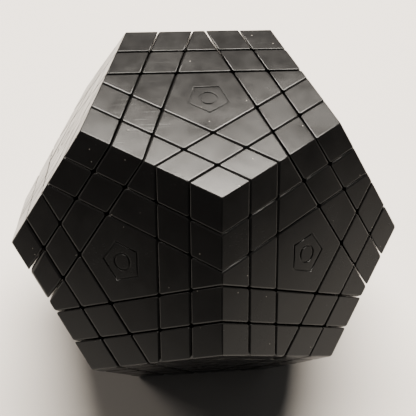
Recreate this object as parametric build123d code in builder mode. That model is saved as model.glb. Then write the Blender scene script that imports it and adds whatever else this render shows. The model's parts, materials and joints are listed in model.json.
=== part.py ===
from build123d import *
from math import acos, atan, atan2, cos, pi, radians, sin, sqrt
import os

# Five-layer dodecahedral twisty puzzle: twelve turning faces, two layers deep on every side.
#
# The frame's origin is the puzzle's centre, where all twelve turning axes meet, with +Z up and
# the puzzle standing on one face.  Every cut between layers is a surface of revolution about its
# face's axis: flat where it reaches the outside, a cone through the neck of the pieces, and a
# wider cone through their feet, so that each piece's foot is held under its neighbours.

# Overall size
edge_length = 48.0  # between neighbouring vertices of the dodecahedron
outer_thickness = 9.19  # from a face to its first cut
centre_apothem = 12.1  # from a face's middle to the cuts round its centre

# Necks and feet of the pieces
hidden_depth = 0.65  # how far under the surface a flat cut turns into a cone
neck_length = 6.8  # from the second cut's cone down to the top of the feet
foot_thickness = 5.0  # from the top of the feet to the core ball
outer_foot_spread = 4.9  # degrees that a foot of the outer layer reaches past its neck

# Clearances
wall_gap = 0.35  # between the walls of neighbouring pieces
core_gap = 0.35  # between the feet and the core ball
spigot_gap = 0.25  # around a centre's spigot in its socket
spring_gap = 0.30  # around a spring in its stem
screw_gap = 0.25  # around a screw that passes through a stem
thread_gap = 0.05  # around a screw in its pilot hole
cap_gap = 0.15  # around a cap's snap ring

# Centre stems and caps
spigot_radius = 5.6
spigot_length = 9.0
shelf_thickness = 2.4  # the ledge at the spigot's end that the spring presses on
cap_thickness = 3.8
snap_ring_radius = 7.2
snap_ring_wall = 1.4
snap_ring_length = 2.2
mark_radius = 6.4  # corners of the engraved pentagon on each cap, in the middle of its line
mark_ring_radius = 2.6  # the engraved ring inside it
mark_width = 0.6
mark_depth = 0.3
mark_turn = 36  # degrees, so that the mark's sides lie along the cap's

# Screws, washers and springs
screw_radius = 1.5
screw_engagement = 10.0  # length of thread in the core
head_radius = 2.7
head_height = 2.0
drive_radius = 1.1
drive_depth = 1.2
washer_radius = 3.1
washer_thickness = 0.5
spring_radius = 2.55  # middle of the wire
wire_radius = 0.35
spring_length = 8.0
spring_turns = 5

# Core ball
core_wall = 3.2
socket_wall = 2.0
boss_radius = 4.0
lip_height = 2.0
lip_wall = 1.5
lip_gap = 0.15

# Proportions of a regular dodecahedron
golden = (1 + sqrt(5)) / 2
face_distance = edge_length * sqrt(10 + 4.4 * sqrt(5)) / 4
vertex_distance = edge_length * sqrt(3) * golden / 2
axis_angle = atan(2)  # between neighbouring face axes
opposite_edge_angle = (pi - axis_angle) / 2  # from a face axis to the far edges of its neighbours

# The two cuts
first_cut = face_distance - outer_thickness
second_cut = face_distance * cos(axis_angle) + centre_apothem * sin(axis_angle)


def neck_reach(cut):
    """How far from the centre a cut may turn into its cone without showing on a neighbour."""
    square = face_distance**2 + cut**2 - 2 * face_distance * cut * cos(axis_angle)
    return sqrt(square) / sin(axis_angle) - hidden_depth


first_neck = acos(first_cut / neck_reach(first_cut))
second_neck = acos(second_cut / neck_reach(second_cut))
first_foot = first_neck + radians(outer_foot_spread)
second_foot = (second_neck + opposite_edge_angle) / 2
foot_top = neck_reach(second_cut) - neck_length
foot_bottom = foot_top - foot_thickness
core_radius = foot_bottom - core_gap
beyond = 2 * vertex_distance  # clear of the whole puzzle

# Heights along a centre's own axis
cap_seat = face_distance - cap_thickness
spigot_end = foot_bottom - spigot_length
spring_seat = spigot_end + shelf_thickness
spring_top = spring_seat + spring_length
washer_top = spring_top + washer_thickness
socket_floor = spigot_end - core_gap
screw_end = socket_floor - screw_engagement
spring_bore = washer_radius + spring_gap
socket_radius = spigot_radius + spigot_gap
cavity_radius = core_radius - core_wall


def cone_point(half_angle, reach, shift):
    """A point of a cone's side, the side moved outwards by shift, at reach from the centre."""
    along = sqrt(reach**2 - shift**2)
    across = along * sin(half_angle) + shift * cos(half_angle)
    return across, along * cos(half_angle) - shift * sin(half_angle)


def cone_meets_plane(half_angle, height, shift):
    """Where that moved side crosses a level plane."""
    along = (height + shift * sin(half_angle)) / cos(half_angle)
    return along * sin(half_angle) + shift * cos(half_angle), height


def layer(cut, neck, foot, shift):
    """All that lies on +Z's side of one cut, its surface moved outwards by shift."""
    reach = foot_top + shift
    foot_edge = cone_point(foot, reach, shift)
    neck_edge = cone_point(neck, reach, shift)
    middle_angle = (atan2(*foot_edge) + atan2(*neck_edge)) / 2
    middle = (reach * sin(middle_angle), reach * cos(middle_angle))
    shoulder = cone_meets_plane(neck, cut - shift, shift)
    with BuildPart() as side:
        with BuildSketch(Plane.XZ):
            with BuildLine():
                Line((0, -shift / sin(foot)), foot_edge)
                ThreePointArc(foot_edge, middle, neck_edge)
                Polyline(neck_edge, shoulder, (beyond, cut - shift), (beyond, beyond), (0, beyond))
                Line((0, beyond), (0, -shift / sin(foot)))
            make_face()
        revolve(axis=Axis.Z)
    return side.part


def face_frame(tilt, around):
    """The frame of a face whose axis leans by tilt from +Z, its x pointing away from +Z."""
    along = (cos(around), sin(around))
    outwards = (along[0] * cos(tilt), along[1] * cos(tilt), -sin(tilt))
    axis = (along[0] * sin(tilt), along[1] * sin(tilt), cos(tilt))
    return Plane((0, 0, 0), x_dir=outwards, z_dir=axis)


def neighbour(turn):
    """The frame of the face at a number of fifth turns about +Z, beside the face on +Z."""
    return face_frame(axis_angle, radians(72 * turn))


first_inside = layer(first_cut, first_neck, first_foot, -wall_gap / 2)
first_outside = layer(first_cut, first_neck, first_foot, wall_gap / 2)
second_inside = layer(second_cut, second_neck, second_foot, -wall_gap / 2)
second_outside = layer(second_cut, second_neck, second_foot, wall_gap / 2)

with BuildPart() as blank:
    Sphere(beyond)
    for side_up in (1, -1):
        end = Plane((0, 0, side_up * face_distance), z_dir=(0, 0, side_up))
        split(bisect_by=end, keep=Keep.BOTTOM)
        for turn in range(5):
            normal = neighbour(turn).z_dir * side_up
            split(bisect_by=Plane(normal * face_distance, z_dir=normal), keep=Keep.BOTTOM)
    Sphere(foot_bottom, rotation=(0, 90, 0), mode=Mode.SUBTRACT)


def cell(levels):
    """One piece of the +Z face: levels says which layer of each neighbour it lies in.

    Level 1 is a neighbour's outer layer, 2 its second layer, and 0 is outside both.
    """
    with BuildPart() as piece:
        add(blank.part)
        with Locations(face_frame(0, pi)):
            add(first_inside, mode=Mode.INTERSECT)
        for turn, level in levels.items():
            with Locations(neighbour(turn)):
                if level == 0:
                    add(second_outside, mode=Mode.SUBTRACT)
                elif level == 1:
                    add(first_inside, mode=Mode.INTERSECT)
                else:
                    add(second_inside, mode=Mode.INTERSECT)
                    add(first_outside, mode=Mode.SUBTRACT)
    return piece.part


# Each kind of piece, by the layer it has in the faces around its own
corner_layers = {0: 1, 1: 1}
wing_layers = {0: 1, 1: 2}
mid_edge_layers = {-1: 0, 0: 1, 1: 0}
x_centre_layers = {0: 2, 1: 2}
t_centre_layers = {-1: 0, 0: 2, 1: 0}
centre_layers = {turn: 0 for turn in range(5)}
centre = cell(centre_layers)


def make_stem():
    """A centre's lower part: its head under the cap, its neck, and the spigot in the core."""
    pocket_depth = snap_ring_length + core_gap
    with BuildPart() as stem:
        add(centre)
        split(bisect_by=Plane.XY.offset(cap_seat), keep=Keep.BOTTOM)
        with BuildSketch(Plane.XY.offset(spigot_end)):
            Circle(spigot_radius)
        extrude(amount=foot_top - spigot_end)
        with BuildSketch(Plane.XY.offset(spring_seat)):
            Circle(spring_bore)
        extrude(amount=cap_seat - spring_seat, mode=Mode.SUBTRACT)
        with BuildSketch(Plane.XY.offset(cap_seat - pocket_depth)):
            Circle(snap_ring_radius + cap_gap)
        extrude(amount=pocket_depth, mode=Mode.SUBTRACT)
        with BuildSketch(Plane.XY.offset(spigot_end)):
            Circle(screw_radius + screw_gap)
        extrude(amount=shelf_thickness, mode=Mode.SUBTRACT)
    return stem.part


def make_cap():
    """The tile that snaps into a stem, with a plain pentagon and ring engraved in its face."""
    with BuildPart() as cap:
        add(centre)
        split(bisect_by=Plane.XY.offset(cap_seat), keep=Keep.TOP)
        with BuildSketch(Plane.XY.offset(cap_seat)):
            Circle(snap_ring_radius)
            Circle(snap_ring_radius - snap_ring_wall, mode=Mode.SUBTRACT)
        extrude(amount=-snap_ring_length)
        with BuildSketch(Plane.XY.offset(face_distance)):
            RegularPolygon(mark_radius + mark_width / 2, 5, rotation=mark_turn)
            RegularPolygon(mark_radius - mark_width / 2, 5, rotation=mark_turn, mode=Mode.SUBTRACT)
            Circle(mark_ring_radius + mark_width / 2)
            Circle(mark_ring_radius - mark_width / 2, mode=Mode.SUBTRACT)
        extrude(amount=-mark_depth, mode=Mode.SUBTRACT)
    return cap.part


def make_screw():
    """A pan-head screw on +Z with a cross recess, its head on the washer."""
    with BuildPart() as screw:
        with BuildSketch(Plane.XY.offset(screw_end)):
            Circle(screw_radius)
        extrude(amount=washer_top - screw_end)
        with BuildSketch(Plane.XY.offset(washer_top)):
            Circle(head_radius)
        extrude(amount=head_height)
        fillet(screw.edges().group_by(Axis.Z)[-1], head_height / 3)
        with BuildSketch(Plane.XY.offset(washer_top + head_height)):
            Rectangle(2 * drive_radius, drive_radius / 2)
            Rectangle(drive_radius / 2, 2 * drive_radius)
        extrude(amount=-drive_depth, mode=Mode.SUBTRACT)
        chamfer(screw.edges().group_by(Axis.Z)[0], screw_radius / 3)
    return screw.part


def make_washer():
    """The flat washer between a spring and its screw's head."""
    with BuildPart() as washer:
        with BuildSketch(Plane.XY.offset(spring_top)):
            Circle(washer_radius)
            Circle(screw_radius + screw_gap, mode=Mode.SUBTRACT)
        extrude(amount=washer_thickness)
    return washer.part


def make_spring():
    """A compression spring on +Z, from the stem's shelf to the washer."""
    travel = spring_length - 2 * wire_radius
    with BuildPart() as spring:
        with BuildLine(Plane.XY.offset(spring_seat + wire_radius)):
            path = Helix(travel / spring_turns, travel, spring_radius)
        with BuildSketch(Plane(path @ 0, z_dir=path % 0)):
            Circle(wire_radius)
        sweep()
    return spring.part


# The twelve face axes: top, five around it, five around the bottom, bottom.
top = Vector(0, 0, 1)
upper_ring = [face_frame(axis_angle, radians(72 * i - 54)).z_dir for i in range(5)]
lower_ring = [face_frame(pi - axis_angle, radians(72 * i - 90)).z_dir for i in range(5)]
faces = [top, *upper_ring, *lower_ring, -top]

# Neighbouring faces share pieces, so the faces that can turn in one tree are three apart from
# each other: the top one and two of the lower ring.
turning = {"top": top, "right": lower_ring[1], "left": lower_ring[4]}


def flag_frame(home, beside):
    """The frame of a piece made on +Z towards x, moved to a face and its neighbour."""
    return Plane((0, 0, 0), x_dir=beside - home * home.dot(beside), z_dir=home)


def which_face(direction):
    """The number of the face whose axis lies along a direction."""
    return max(range(len(faces)), key=lambda number: faces[number].dot(direction))


def body_of(membership):
    """The rigid body of a piece, from the layer it has in each face."""
    for name, axis in turning.items():
        level = membership.get(which_face(axis), 0)
        if level:
            return f"{name}_face" if level == 1 else f"{name}_slice"
    return "core"


def frames_by_body(levels):
    """Every place of one kind of piece, sorted by the body it belongs to."""
    found = {}
    seen = set()
    for home in faces:
        axis = Axis((0, 0, 0), home)
        for beside in faces:
            if abs(home.dot(beside) - cos(axis_angle)) > 0.01:
                continue
            membership = {which_face(home): 1}
            for turn, level in levels.items():
                membership[which_face(beside.rotate(axis, 72 * turn))] = level
            key = frozenset(membership.items())
            if key not in seen:
                seen.add(key)
                found.setdefault(body_of(membership), []).append(flag_frame(home, beside))
    return found


def bars(axes, radius, start, finish, mode=Mode.ADD):
    """A round bar, or a round hole, on each axis between two distances from the centre."""
    with Locations(*[Plane((0, 0, 0), z_dir=axis).offset(start) for axis in axes]):
        Cylinder(radius, finish - start, align=(Align.CENTER, Align.CENTER, Align.MIN), mode=mode)


def ring(outer_radius, height):
    """A flat ring on the equator, from the core's cavity outwards."""
    with BuildPart() as band:
        with BuildSketch():
            Circle(outer_radius)
            Circle(cavity_radius, mode=Mode.SUBTRACT)
        extrude(amount=height)
    return band.part


def make_core_half(lipped):
    """The hollow core's half on +Z, with a socket for each spigot and a boss for each screw."""
    axes = [top, *upper_ring]
    with BuildPart() as half:
        Sphere(core_radius)
        split(bisect_by=Plane.XY, keep=Keep.TOP)
        Sphere(cavity_radius, mode=Mode.SUBTRACT)
        bars(axes, socket_radius + socket_wall, socket_floor - socket_wall, cavity_radius)
        bars(axes, boss_radius, screw_end - socket_wall, socket_floor)
        bars(axes, socket_radius, socket_floor, core_radius, mode=Mode.SUBTRACT)
        pilot_radius = screw_radius + thread_gap
        bars(axes, pilot_radius, screw_end - core_gap, socket_floor, mode=Mode.SUBTRACT)
        if lipped:
            add(ring(cavity_radius + lip_wall, -lip_height))
        else:
            rebate = ring(cavity_radius + lip_wall + lip_gap, lip_height + lip_gap)
            add(rebate, mode=Mode.SUBTRACT)
    return half.part


def save(name, piece, frames):
    """A node: one solid of a piece at each of its frames."""
    with BuildPart() as node:
        with Locations(*frames):
            add(piece)
    node.part.label = name
    export_step(node.part, f"parts/{name}.step")
    print(name, len(node.part.solids()))


def save_kind(name, piece, layers, core_singly=False):
    """A kind of piece as one node for each body, or for each single piece of the core body."""
    for body, frames in frames_by_body(layers).items():
        if len(frames) == 1:
            save(f"{body}_{name}", piece, frames)
        elif body == "core" and core_singly:
            for number, frame in enumerate(frames, 1):
                save(f"{body}_{name}_{number}", piece, [frame])
        else:
            save(f"{body}_{name}s", piece, frames)


axis_frames = [Plane((0, 0, 0), z_dir=axis) for axis in faces]
upside_down = Plane((0, 0, 0), x_dir=(1, 0, 0), z_dir=(0, 0, -1))

os.makedirs("parts", exist_ok=True)
save("core_upper_half", make_core_half(lipped=False), [Plane.XY])
save("core_lower_half", make_core_half(lipped=True), [upside_down])
save("core_screws", make_screw(), axis_frames)
save("core_washers", make_washer(), axis_frames)
save("core_springs", make_spring(), axis_frames)
save_kind("stem", make_stem(), centre_layers)
save_kind("cap", make_cap(), centre_layers, core_singly=True)
save_kind("t_centre", cell(t_centre_layers), t_centre_layers)
save_kind("x_centre", cell(x_centre_layers), x_centre_layers)
save_kind("mid_edge", cell(mid_edge_layers), mid_edge_layers)
save_kind("wing", cell(wing_layers), wing_layers)
save_kind("corner", cell(corner_layers), corner_layers, core_singly=True)
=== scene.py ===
import json
import math

import bmesh
import bpy
import numpy as np
from mathutils import Matrix, Vector


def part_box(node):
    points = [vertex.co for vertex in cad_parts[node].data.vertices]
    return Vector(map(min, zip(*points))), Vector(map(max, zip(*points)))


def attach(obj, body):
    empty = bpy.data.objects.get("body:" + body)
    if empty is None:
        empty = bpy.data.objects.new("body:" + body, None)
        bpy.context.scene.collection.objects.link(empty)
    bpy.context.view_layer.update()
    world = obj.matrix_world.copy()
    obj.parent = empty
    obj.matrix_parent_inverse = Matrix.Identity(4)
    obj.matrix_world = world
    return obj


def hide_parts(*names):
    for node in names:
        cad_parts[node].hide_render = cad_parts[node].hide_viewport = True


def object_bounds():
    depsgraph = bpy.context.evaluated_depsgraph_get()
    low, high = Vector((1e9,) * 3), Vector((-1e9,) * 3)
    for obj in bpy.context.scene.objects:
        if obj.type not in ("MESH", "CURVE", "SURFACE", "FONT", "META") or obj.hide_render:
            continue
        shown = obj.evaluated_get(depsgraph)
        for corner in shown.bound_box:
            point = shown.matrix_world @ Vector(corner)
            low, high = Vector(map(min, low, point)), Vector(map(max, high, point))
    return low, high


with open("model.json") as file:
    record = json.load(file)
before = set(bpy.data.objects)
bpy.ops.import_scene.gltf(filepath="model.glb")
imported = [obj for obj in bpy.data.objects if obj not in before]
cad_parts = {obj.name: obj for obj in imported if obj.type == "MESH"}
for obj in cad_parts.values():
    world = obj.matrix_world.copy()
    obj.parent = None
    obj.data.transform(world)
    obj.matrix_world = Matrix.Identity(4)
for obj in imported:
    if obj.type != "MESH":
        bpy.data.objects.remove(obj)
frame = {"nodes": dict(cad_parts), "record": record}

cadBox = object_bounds()
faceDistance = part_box("top_face_cap")[1].z        # from the centre to a face, in metres
edgeLength = 4 * faceDistance / math.sqrt(10 + 4.4 * math.sqrt(5))
print("frame loaded: edge", round(edgeLength * 1000, 2), "mm")


def ringAxes(tilt, firstAzimuth):        # five unit vectors leaning by tilt from +Z, a fifth of a turn apart
    azimuth = np.radians(firstAzimuth + 72 * np.arange(5))
    across = np.full(5, math.sin(tilt))
    return np.stack([across * np.cos(azimuth), across * np.sin(azimuth), np.full(5, math.cos(tilt))], 1)


axisAngle = math.atan(2)        # between neighbouring face axes
top = np.array([[0.0, 0.0, 1.0]])
faceAxes = np.concatenate([top, ringAxes(axisAngle, -54), ringAxes(math.pi - axisAngle, -90), -top])


class Shade:        # one output of a shader tree; Python's operators on it add Math nodes
    def __init__(self, tree, socket=None):
        self.tree = tree
        self.socket = socket

    def node(self, kind, settings=None, inputs=None, output=0):        # any node: settings first, then sockets
        made = self.tree.nodes.new(kind)
        for name, value in (settings or {}).items():
            if name == "stops":
                self.setStops(made.color_ramp, value)
            else:
                setattr(made, name, value)
        for key, value in (inputs or {}).items():
            if isinstance(value, Shade):
                self.tree.links.new(value.socket, made.inputs[key])
            else:
                made.inputs[key].default_value = value
        return Shade(self.tree, made.outputs[output])

    def setStops(self, ramp, stops):        # stops are (place, grey) pairs
        while len(ramp.elements) < len(stops):
            ramp.elements.new(0.5)
        for element, (place, grey) in zip(ramp.elements, stops):
            element.position = place
            element.color = (grey, grey, grey, 1)

    def maths(self, operation, *values):
        return self.node("ShaderNodeMath", {"operation": operation}, dict(enumerate(values)))

    def __add__(self, other):
        return self.maths("ADD", self, other)

    def __radd__(self, other):
        return self.maths("ADD", other, self)

    def __sub__(self, other):
        return self.maths("SUBTRACT", self, other)

    def __rsub__(self, other):
        return self.maths("SUBTRACT", other, self)

    def __mul__(self, other):
        return self.maths("MULTIPLY", self, other)

    def __rmul__(self, other):
        return self.maths("MULTIPLY", other, self)

    def __truediv__(self, other):
        return self.maths("DIVIDE", self, other)

    def __gt__(self, other):
        return self.maths("GREATER_THAN", self, other)

    def __lt__(self, other):
        return self.maths("LESS_THAN", self, other)

    def ramp(self, *stops):        # the value through a grey ramp
        return self.node("ShaderNodeValToRGB", {"stops": stops}, {"Fac": self})

    def blend(self, low, high):        # the colour low where this is 0, and high where it is 1
        return self.node("ShaderNodeMix", {"data_type": "RGBA"}, {0: self, 6: low, 7: high}, 2)


def newMaterial(name):        # a material with its Principled node and a Shade to start from
    material = bpy.data.materials.new(name)
    material.use_nodes = True
    tree = material.node_tree
    shader = tree.nodes["Principled BSDF"]
    return material, shader, Shade(tree)


def connect(shader, socket, value):        # a Shade into one of the shader's sockets
    value.tree.links.new(value.socket, shader.inputs[socket])


def grain(start, coords, size, detail, roughness):        # noise with features of a size in metres
    settings = {"noise_dimensions": "3D"}
    inputs = {"Vector": coords, "Scale": 1 / size, "Detail": detail, "Roughness": roughness}
    return start.node("ShaderNodeTexNoise", settings, inputs)


shellFinish = {
    "name": "shell_abs",
    "colour": (0.0045, 0.0045, 0.0047, 1),
    "dustColour": (0.20, 0.19, 0.175, 1),
    "roughness": 0.22,
    "gloss": 0.20,        # specular level
    "glossTint": (0.90, 0.95, 1.0, 1),
    "hazeSize": 0.021,        # metres
    "hazeAmount": 0.22,
    "smudgeSize": 0.006,
    "smudgeAmount": 0.14,
    "waveSize": 0.009,        # slow unevenness of the moulded faces
    "waveHeight": 0.00004,
    "peelSize": 0.0009,
    "peelHeight": 0.0000012,
    "scratchHeight": 0.0000025,
    "dustCell": 0.0042,
    "dustRadius": 0.035,
}


def mouldedPlastic(finish):        # black ABS: handled, with haze, smudges, fine scratches and specks of dust
    material, shader, start = newMaterial(finish["name"])
    coords = start.node("ShaderNodeTexCoord", output=3)
    haze = grain(start, coords, finish["hazeSize"], 4, 0.55)
    smudge = grain(start, coords, finish["smudgeSize"], 5, 0.65)
    turned = {"Rotation": (0.5, 0.9, 0.3), "Scale": (0.05, 1, 1)}
    along = start.node("ShaderNodeMapping", inputs={"Vector": coords, **turned})
    scratch = grain(start, along, 0.0006, 3, 0.6).ramp((0.60, 0), (0.68, 1))
    wide = grain(start, coords, 0.03, 1, 0.5).ramp((0.45, 0), (0.62, 1))
    speckSettings = {"voronoi_dimensions": "3D", "feature": "F1"}
    speckInputs = {"Vector": coords, "Scale": 1 / finish["dustCell"], "Randomness": 1.0}
    distance = start.node("ShaderNodeTexVoronoi", speckSettings, speckInputs)
    dust = distance < finish["dustRadius"]
    connect(shader, "Base Color", dust.blend(finish["colour"], finish["dustColour"]))
    rough = finish["roughness"] + (haze - 0.5) * finish["hazeAmount"]
    rough = rough + (smudge - 0.5) * finish["smudgeAmount"] + scratch * wide * 0.06 + dust * 0.3
    connect(shader, "Roughness", rough)
    shader.inputs["Specular IOR Level"].default_value = finish["gloss"]
    shader.inputs["Specular Tint"].default_value = finish["glossTint"]
    wave = grain(start, coords, finish["waveSize"], 1, 0.4)
    peel = grain(start, coords, finish["peelSize"], 2, 0.5)
    height = wave * finish["waveHeight"] + peel * finish["peelHeight"]
    height = height - scratch * wide * finish["scratchHeight"]
    bump = start.node("ShaderNodeBump", inputs={"Strength": 1.0, "Distance": 1.0, "Height": height})
    connect(shader, "Normal", bump)
    return material


shellPlastic = mouldedPlastic(shellFinish)


shellEdges = {
    "rim": 0.00042,        # between a facet and a wall
    "fold": 0.00030,        # between two facets
    "corner": 0.00110,        # between two walls, down from a facet's corner
    "mark": 0.00012,        # the edges of the engraved mark
    "segments": 3,
    "tilt": 0.3,        # degrees that a piece may lean in its seat
    "seat": 0.00002,        # how far each piece sits below its faces
    "slant": 1.3,        # depth towards the centre for each unit of depth under a face
}


def arrayOf(items, name, size, kind=np.float64):        # an attribute of a mesh's items as one array
    values = np.empty(len(items) * size, kind)
    items.foreach_get(name, values)
    return values.reshape(-1, size) if size > 1 else values


def mergedMesh(node):        # the node's triangles with shared corners, and its flat faces whole again
    mesh = bpy.data.meshes.new(node + "_shell")
    work = bmesh.new()
    work.from_mesh(frame["nodes"][node].data)
    bmesh.ops.remove_doubles(work, verts=work.verts, dist=1e-6)
    flat = math.radians(0.4)
    bmesh.ops.dissolve_limit(work, angle_limit=flat, verts=work.verts, edges=work.edges)
    work.to_mesh(mesh)
    work.free()
    mesh.materials.clear()
    mesh.attributes.remove(mesh.attributes["custom_normal"])
    return mesh


def islandsOf(mesh):        # each vertex's island: the lowest number that spreads along the edges
    edges = arrayOf(mesh.edges, "vertices", 2, np.int32)
    island = np.arange(len(mesh.vertices))
    while True:
        lowest = np.minimum(island[edges[:, 0]], island[edges[:, 1]])
        before = island.copy()
        np.minimum.at(island, edges[:, 0], lowest)
        np.minimum.at(island, edges[:, 1], lowest)
        island = island[island]
        if np.array_equal(island, before):
            return np.unique(island, return_inverse=True)[1]


def edgeWidths(mesh):        # how wide each edge is rounded, from the planes of the two faces beside it
    normals = arrayOf(mesh.polygons, "normal", 3)
    centres = arrayOf(mesh.polygons, "center", 3)
    along = normals @ faceAxes.T
    axis = np.abs(along).argmax(1)
    square = np.abs(along).max(1) > 0.99995
    height = np.einsum("ij,ij->i", centres, faceAxes[axis])
    outer = square & (np.abs(height - faceDistance) < 2e-5)
    wall = square & ~outer
    loopEdge = arrayOf(mesh.loops, "edge_index", 1, np.int32)
    loopTotal = arrayOf(mesh.polygons, "loop_total", 1, np.int32)
    loopFace = np.repeat(np.arange(len(mesh.polygons)), loopTotal)
    order = np.argsort(loopEdge, kind="stable")
    first = loopFace[order][0::2]
    second = loopFace[order][1::2]
    vertices = arrayOf(mesh.vertices, "co", 3)
    ends = arrayOf(mesh.edges, "vertices", 2, np.int32)
    reach = (vertices @ faceAxes.T).max(1) > faceDistance - 2e-5
    touches = reach[ends].any(1)
    width = np.zeros(len(mesh.edges))
    width[(outer[first] & wall[second]) | (wall[first] & outer[second])] = shellEdges["rim"]
    width[outer[first] & outer[second]] = shellEdges["fold"]
    width[wall[first] & wall[second] & touches] = shellEdges["corner"]
    marked = (outer[first] & ~square[second]) | (~square[first] & outer[second])
    width[marked] = shellEdges["mark"]
    return width


def settle(mesh, seed):        # each piece leans a little in its seat: a small turn about its own middle
    rng = np.random.default_rng(seed)
    points = arrayOf(mesh.vertices, "co", 3)
    island = islandsOf(mesh)
    count = island.max() + 1
    share = np.bincount(island, minlength=count)
    middle = np.stack([np.bincount(island, points[:, k], count) / share for k in range(3)], 1)
    turn = np.radians(rng.uniform(-1, 1, (count, 3)) * shellEdges["tilt"])
    arm = points - middle[island]
    moved = points + np.cross(turn[island], arm)
    over = (moved @ faceAxes.T).max(1) - faceDistance        # how far a point stands out past its face
    depth = np.zeros(count)
    np.maximum.at(depth, island, over)
    depth = depth * shellEdges["slant"] + shellEdges["seat"]
    outwards = middle / np.linalg.norm(middle, axis=1)[:, None]
    moved = moved - (outwards * depth[:, None])[island]
    mesh.vertices.foreach_set("co", moved.ravel())
    mesh.update()


def makeShell(node, seed):        # a node's mouldings with rounded edges, in the place of its CAD shape
    mesh = mergedMesh(node)
    width = edgeWidths(mesh)
    widest = shellEdges["corner"]
    weight = mesh.attributes.new("bevel_weight_edge", "FLOAT", "EDGE")
    weight.data.foreach_set("value", (width / widest).astype(np.float32))
    settle(mesh, seed)
    mesh.polygons.foreach_set("use_smooth", np.ones(len(mesh.polygons), bool))
    mesh.set_sharp_from_angle(angle=math.radians(25))
    shell = bpy.data.objects.new(node + "_shell", mesh)
    bpy.context.scene.collection.objects.link(shell)
    rounding = shell.modifiers.new("rounded edges", "BEVEL")
    rounding.limit_method = "WEIGHT"
    rounding.offset_type = "OFFSET"
    rounding.width = widest
    rounding.segments = shellEdges["segments"]
    rounding.use_clamp_overlap = False
    evening = shell.modifiers.new("flat facets", "WEIGHTED_NORMAL")        # keeps the big flat faces flat
    evening.keep_sharp = True
    evening.weight = 100
    mesh.materials.append(shellPlastic)
    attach(shell, nodeBody[node])
    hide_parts(node)


nodeSlot = {row["node"]: row["material_slot"] for row in frame["record"]["subparts"]}
nodeBody = {}
for body, members in frame["record"]["behaviour"]["bodies"].items():
    for member in members:
        nodeBody[member] = body

shellKinds = ("cap", "t_centre", "x_centre", "mid_edge", "wing", "corner")
shellNodes = [node for node in sorted(frame["nodes"]) if any(kind in node for kind in shellKinds)]
for seed, node in enumerate(shellNodes):
    makeShell(node, seed)
print("shells made:", len(shellNodes))


def plainFinish(name, colour, roughness, metallic, size):        # one colour with a fine grain in its gloss
    material, shader, start = newMaterial(name)
    coords = start.node("ShaderNodeTexCoord", output=3)
    fine = grain(start, coords, size, 3, 0.6)
    shader.inputs["Metallic"].default_value = metallic
    connect(shader, "Roughness", roughness + (fine - 0.5) * 0.2)
    darker = tuple(0.8 * part for part in colour[:3]) + (1,)
    connect(shader, "Base Color", fine.blend(darker, colour))
    return material


innerFinishes = {
    "core_plastic": plainFinish("core_nylon", (0.05, 0.05, 0.055, 1), 0.5, 0.0, 0.002),
    "stem_plastic": plainFinish("stem_abs", (0.02, 0.02, 0.021, 1), 0.4, 0.0, 0.0015),
    "screw_steel": plainFinish("screw_zinc", (0.62, 0.62, 0.63, 1), 0.32, 1.0, 0.0004),
    "washer_steel": plainFinish("washer_zinc", (0.66, 0.66, 0.66, 1), 0.3, 1.0, 0.0004),
    "spring_steel": plainFinish("spring_wire", (0.55, 0.55, 0.56, 1), 0.28, 1.0, 0.0004),
}
for node, slot in nodeSlot.items():
    if slot in innerFinishes:
        data = frame["nodes"][node].data
        data.materials.clear()
        data.materials.append(innerFinishes[slot])
print("inner pieces finished")


cameraView = {
    "location": (-0.5855, -4.1690, 4.8709),        # in edge lengths from the puzzle's centre
    "aim": (0.0553, 0.0202, 0.0222),
    "roll": 4.39,        # degrees
    "lens": 76.3,
}

stageSizes = {
    "floor": 2.4,        # metres from the middle to each side
    "pale": 0.30,        # painted shade on the card starts this far out
    "dim": 0.75,        # and is full, darkening the card to grey, from here on
}


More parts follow.
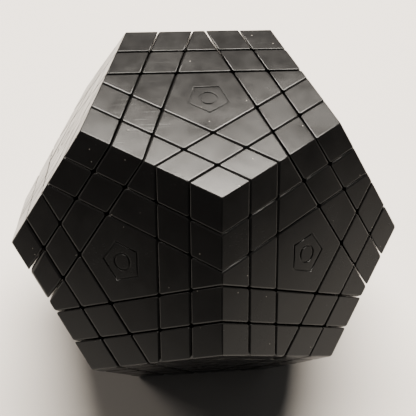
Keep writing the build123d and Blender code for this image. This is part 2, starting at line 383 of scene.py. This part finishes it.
def makeFloor():        # a wide card, pale round the puzzle and darkened to grey further out by painted shade in place of the light's falloff
    material, shader, start = newMaterial("floor_card")
    coords = start.node("ShaderNodeTexCoord", output=3)
    cloud = grain(start, coords, 0.25, 2, 0.5)
    pale = cloud.blend((0.37, 0.362, 0.352, 1), (0.40, 0.392, 0.382, 1))
    across = start.node("ShaderNodeVectorMath", {"operation": "LENGTH"}, {0: coords}, 1)
    shadeLimits = {"From Min": stageSizes["pale"], "From Max": stageSizes["dim"]}
    outwards = start.node("ShaderNodeMapRange", {"clamp": True}, {"Value": across, **shadeLimits})
    # painted shade: the card's colour fades to dark grey away from the puzzle, standing in for the light
    # falling off
    connect(shader, "Base Color", outwards.blend(pale, (0.06, 0.06, 0.06, 1)))
    shader.inputs["Roughness"].default_value = 0.6
    size = stageSizes["floor"]
    level = cadBox[0].z
    mesh = bpy.data.meshes.new("floor")
    corners = [(-size, -size, level), (size, -size, level), (size, size, level), (-size, size, level)]
    mesh.from_pydata(corners, [], [(0, 1, 2, 3)])
    mesh.materials.append(material)
    floor = bpy.data.objects.new("floor", mesh)
    bpy.context.scene.collection.objects.link(floor)


def areaLight(name, place, aim, size, power, colour):        # a rectangle of light at place, turned to aim
    data = bpy.data.lights.new(name, "AREA")
    data.shape = "RECTANGLE"
    data.size, data.size_y = size
    data.energy = power
    data.color = colour
    light = bpy.data.objects.new(name, data)
    light.location = place
    light.rotation_mode = "QUATERNION"
    light.rotation_quaternion = (Vector(aim) - Vector(place)).to_track_quat("-Z", "Y")
    bpy.context.scene.collection.objects.link(light)


def makeCamera():        # the scene camera, from its place and aim in edge lengths
    data = bpy.data.cameras.new("camera")
    data.lens = cameraView["lens"]
    data.sensor_width = 36
    camera = bpy.data.objects.new("camera", data)
    place = Vector(cameraView["location"]) * edgeLength
    aim = Vector(cameraView["aim"]) * edgeLength
    turn = (aim - place).to_track_quat("-Z", "Y").to_matrix()
    turn = turn @ Matrix.Rotation(math.radians(cameraView["roll"]), 3, "Z")
    camera.matrix_world = Matrix.Translation(place) @ turn.to_4x4()
    bpy.context.scene.collection.objects.link(camera)
    bpy.context.scene.camera = camera


makeFloor()
areaLight("back panel", (0.05, 0.46, 0.93), (0, 0, 0), (1.0, 0.45), 112, (1.0, 0.90, 0.78))
areaLight("left panel", (-1.1, 0.35, 0.9), (0, 0, 0), (0.5, 0.5), 6, (1.0, 0.88, 0.76))
world = bpy.data.worlds.new("room")
bpy.context.scene.world = world
world.use_nodes = True
world.node_tree.nodes["Background"].inputs["Color"].default_value = (0.30, 0.29, 0.28, 1)
world.node_tree.nodes["Background"].inputs["Strength"].default_value = 0.3
makeCamera()
print("stage set")
